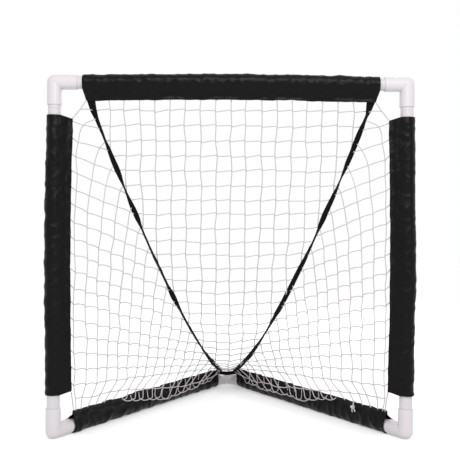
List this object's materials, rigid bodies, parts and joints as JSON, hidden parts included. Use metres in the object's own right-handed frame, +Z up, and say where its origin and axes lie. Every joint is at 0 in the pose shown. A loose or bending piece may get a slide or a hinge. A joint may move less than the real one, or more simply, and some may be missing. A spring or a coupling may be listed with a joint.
{
  "type": "practice goal net",
  "caption": "Push-fit tube goal with a square mouth and a V-shaped base, fabric sleeves and a slack three-panel net gathered at the rear bend.",
  "frame": {"origin": "middle of the footprint, on the ground", "axes": "+X to the right as seen by a shooter, +Y from the mouth to the rear bend, +Z up"},
  "size_m": [0.914, 0.711, 0.902],
  "materials": {
    "white_plastic": "smooth moulded and extruded white plastic",
    "black_fabric": "coated black woven polyester with a soft sheen",
    "black_tape": "black woven binding tape",
    "white_cord": "white twisted polyester netting cord"
  },
  "bodies": {
    "root": {"crossbar_tube": "white_plastic", "left_upright_tube": "white_plastic", "right_upright_tube": "white_plastic", "left_base_tube": "white_plastic", "right_base_tube": "white_plastic", "top_left_elbow": "white_plastic", "top_right_elbow": "white_plastic", "bottom_left_elbow": "white_plastic", "bottom_right_elbow": "white_plastic", "rear_bend": "white_plastic", "crossbar_sleeve": "black_fabric", "left_upright_sleeve": "black_fabric", "right_upright_sleeve": "black_fabric", "left_base_sleeve": "black_fabric", "right_base_sleeve": "black_fabric", "back_net_panel": "white_cord", "left_net_panel": "white_cord", "right_net_panel": "white_cord", "left_seam_tape": "black_tape", "right_seam_tape": "black_tape", "apex_strap": "black_tape", "net_tie": "white_cord"}
  },
  "joints": []
}
